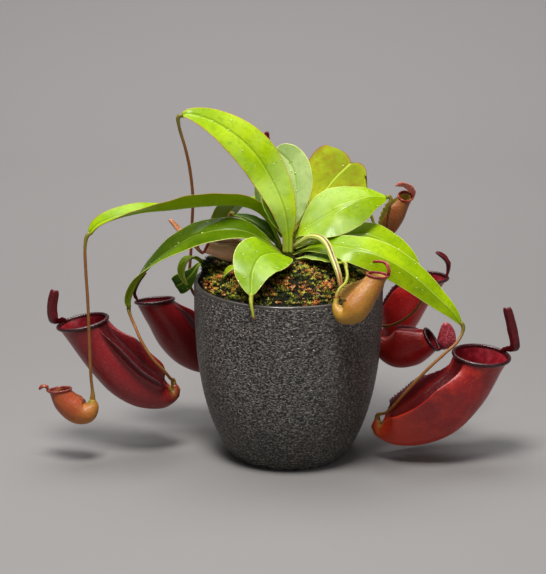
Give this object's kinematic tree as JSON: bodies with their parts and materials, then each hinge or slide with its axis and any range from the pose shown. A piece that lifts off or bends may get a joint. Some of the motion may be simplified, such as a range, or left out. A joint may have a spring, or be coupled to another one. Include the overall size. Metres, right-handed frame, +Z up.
{
  "type": "tropical pitcher plant in a pot",
  "caption": "Potted tropical pitcher plant: broad glossy leaves whose tendrils carry hollow red and orange pitchers, in a round dark textured pot with moss.",
  "frame": {"origin": "centre of the flat base of the pot", "axes": "+Z up along the axis of the pot, +X to the right seen from the picture, +Y away from it"},
  "size_m": [0.3553, 0.2013, 0.2617],
  "materials": {
    "pot": "dark grey, satin, wrinkled texture",
    "soil": "rough, damp",
    "moss": "rough, tufted",
    "stem": "satin",
    "leaf": "glossy, wet",
    "old_leaf": "satin",
    "dark_leaf": "satin",
    "rolled_leaf": "satin",
    "tendril": "satin",
    "red_pitcher": "glossy, waxy",
    "orange_pitcher": "satin",
    "tan_pitcher": "satin, dry"
  },
  "bodies": {
    "root": {"pot": "pot", "soil": "soil", "moss": "moss", "stem": "stem", "leaf_rolled": "rolled_leaf", "leaf_01": "leaf", "leaf_02": "leaf", "leaf_03": "leaf", "leaf_04": "leaf", "leaf_05": "leaf", "leaf_06": "leaf", "leaf_07": "old_leaf", "leaf_08": "leaf", "leaf_09": "leaf", "leaf_10": "leaf", "leaf_11": "leaf", "leaf_12": "dark_leaf", "leaf_13": "leaf", "leaf_14": "leaf", "leaf_15": "dark_leaf", "leaf_16": "leaf", "leaf_17": "leaf", "leaf_18": "dark_leaf", "leaf_19": "leaf", "tendril_01": "tendril", "tendril_02": "tendril", "tendril_03": "tendril", "tendril_04": "tendril", "tendril_05": "tendril", "tendril_06": "tendril", "tendril_08": "tendril", "tendril_09": "tendril", "tendril_10": "tendril", "tendril_11": "tendril", "tendril_12": "tendril", "tendril_13": "tendril", "tendril_14": "tendril", "pitcher_01": "red_pitcher", "pitcher_03": "red_pitcher", "pitcher_05": "red_pitcher", "pitcher_06": "red_pitcher", "pitcher_08": "red_pitcher", "pitcher_09": "red_pitcher", "pitcher_13": "red_pitcher", "pitcher_02": "orange_pitcher", "pitcher_10": "orange_pitcher", "pitcher_11": "orange_pitcher", "pitcher_12": "tan_pitcher"}
  },
  "joints": []
}
